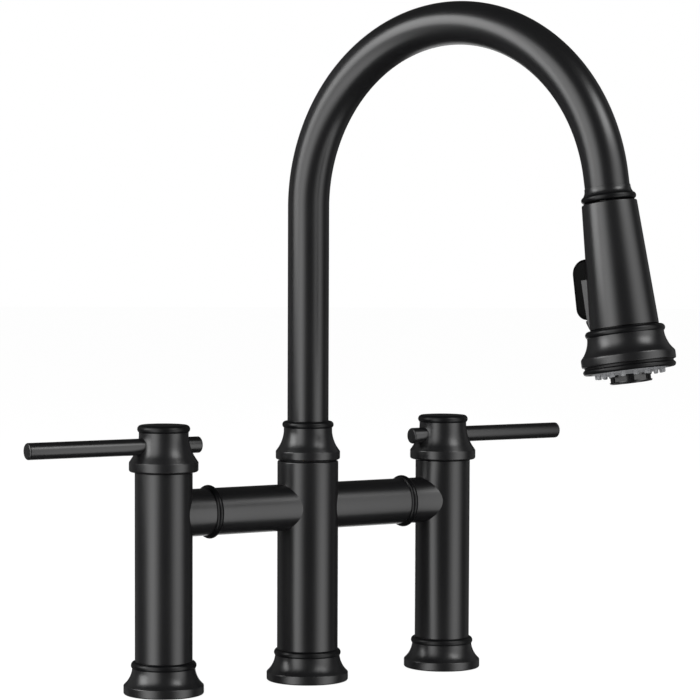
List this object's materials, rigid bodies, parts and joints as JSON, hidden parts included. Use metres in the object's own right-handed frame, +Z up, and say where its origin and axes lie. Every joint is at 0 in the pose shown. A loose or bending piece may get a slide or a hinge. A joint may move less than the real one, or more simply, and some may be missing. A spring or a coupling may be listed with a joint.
{
  "type": "bridge kitchen faucet",
  "caption": "Deck-standing bridge kitchen faucet: lever handles turn on the outer posts, the gooseneck swivels, and its spray head pulls down and carries a rocker button.",
  "frame": {"origin": "axis of the centre post at the deck's surface", "axes": "+Z up, X along the bridge, -Y towards the user at the sink"},
  "size_m": [0.3842, 0.2664, 0.4118],
  "materials": {
    "black_coat": "matte black coating",
    "gloss_black": "glossy black moulding",
    "dark_plastic": "acetal moulding",
    "grey_silicone": "soft grey silicone",
    "brass": "machined brass",
    "steel": "stainless steel",
    "rubber": "black rubber",
    "hose_braid": "braided nylon"
  },
  "bodies": {
    "faucet_body": {"left_base_flange": "black_coat", "left_valve_post": "black_coat", "left_bridge_tube": "black_coat", "left_bridge_ring": "black_coat", "left_deck_gasket": "rubber", "left_bridge_o_ring": "rubber", "left_valve_cartridge": "brass", "left_cartridge_nut": "brass", "right_base_flange": "black_coat", "right_valve_post": "black_coat", "right_bridge_tube": "black_coat", "right_bridge_ring": "black_coat", "right_deck_gasket": "rubber", "right_bridge_o_ring": "rubber", "right_valve_cartridge": "brass", "right_cartridge_nut": "brass", "centre_base_flange": "black_coat", "centre_deck_gasket": "rubber", "centre_post": "black_coat", "mixing_manifold": "brass", "swivel_washer": "dark_plastic", "spout_lock_screw": "steel"},
    "left_handle": {"left_handle_hub": "black_coat", "left_lever": "black_coat", "left_valve_stem": "brass", "left_set_screw": "steel"},
    "right_handle": {"right_handle_hub": "black_coat", "right_lever": "black_coat", "right_valve_stem": "brass", "right_set_screw": "steel"},
    "spout": {"spout_collar": "black_coat", "gooseneck": "black_coat", "spout_shank": "brass", "spout_o_ring": "rubber", "spout_tip_collar": "black_coat", "dock_socket": "dark_plastic", "dock_magnet": "steel", "spray_hose": "hose_braid"},
    "spray_head": {"head_shell": "black_coat", "head_skirt": "black_coat", "head_rim_ring": "black_coat", "spray_face": "grey_silicone", "aerator": "gloss_black", "hose_connector": "steel", "head_core": "dark_plastic", "catch_ring": "steel", "button_pin": "steel"},
    "mode_button": {"mode_button": "gloss_black"}
  },
  "joints": [
    {"name": "left_handle_turn", "type": "hinge", "parent": "faucet_body", "child": "left_handle", "pos_m": [-0.1016, 0, 0], "axis": [0, 0, 1], "range_deg": [0, 90]},
    {"name": "right_handle_turn", "type": "hinge", "parent": "faucet_body", "child": "right_handle", "pos_m": [0.1016, 0, 0], "axis": [0, 0, 1], "range_deg": [-90, 0]},
    {"name": "spout_swivel", "type": "hinge", "parent": "faucet_body", "child": "spout", "pos_m": [0, 0, 0], "axis": [0, 0, 1], "range_deg": [-110, 70]},
    {"name": "head_pull", "type": "slide", "parent": "spout", "child": "spray_head", "axis": [0.052, -0.1429, -0.9884], "range_m": [0, 0.18], "deforming": ["spray_hose"]},
    {"name": "button_rock", "type": "hinge", "parent": "spray_head", "child": "mode_button", "pos_m": [0.07082, -0.19458, 0.24315], "axis": [-0.9397, -0.342, 0], "range_deg": [0, 6]}
  ]
}
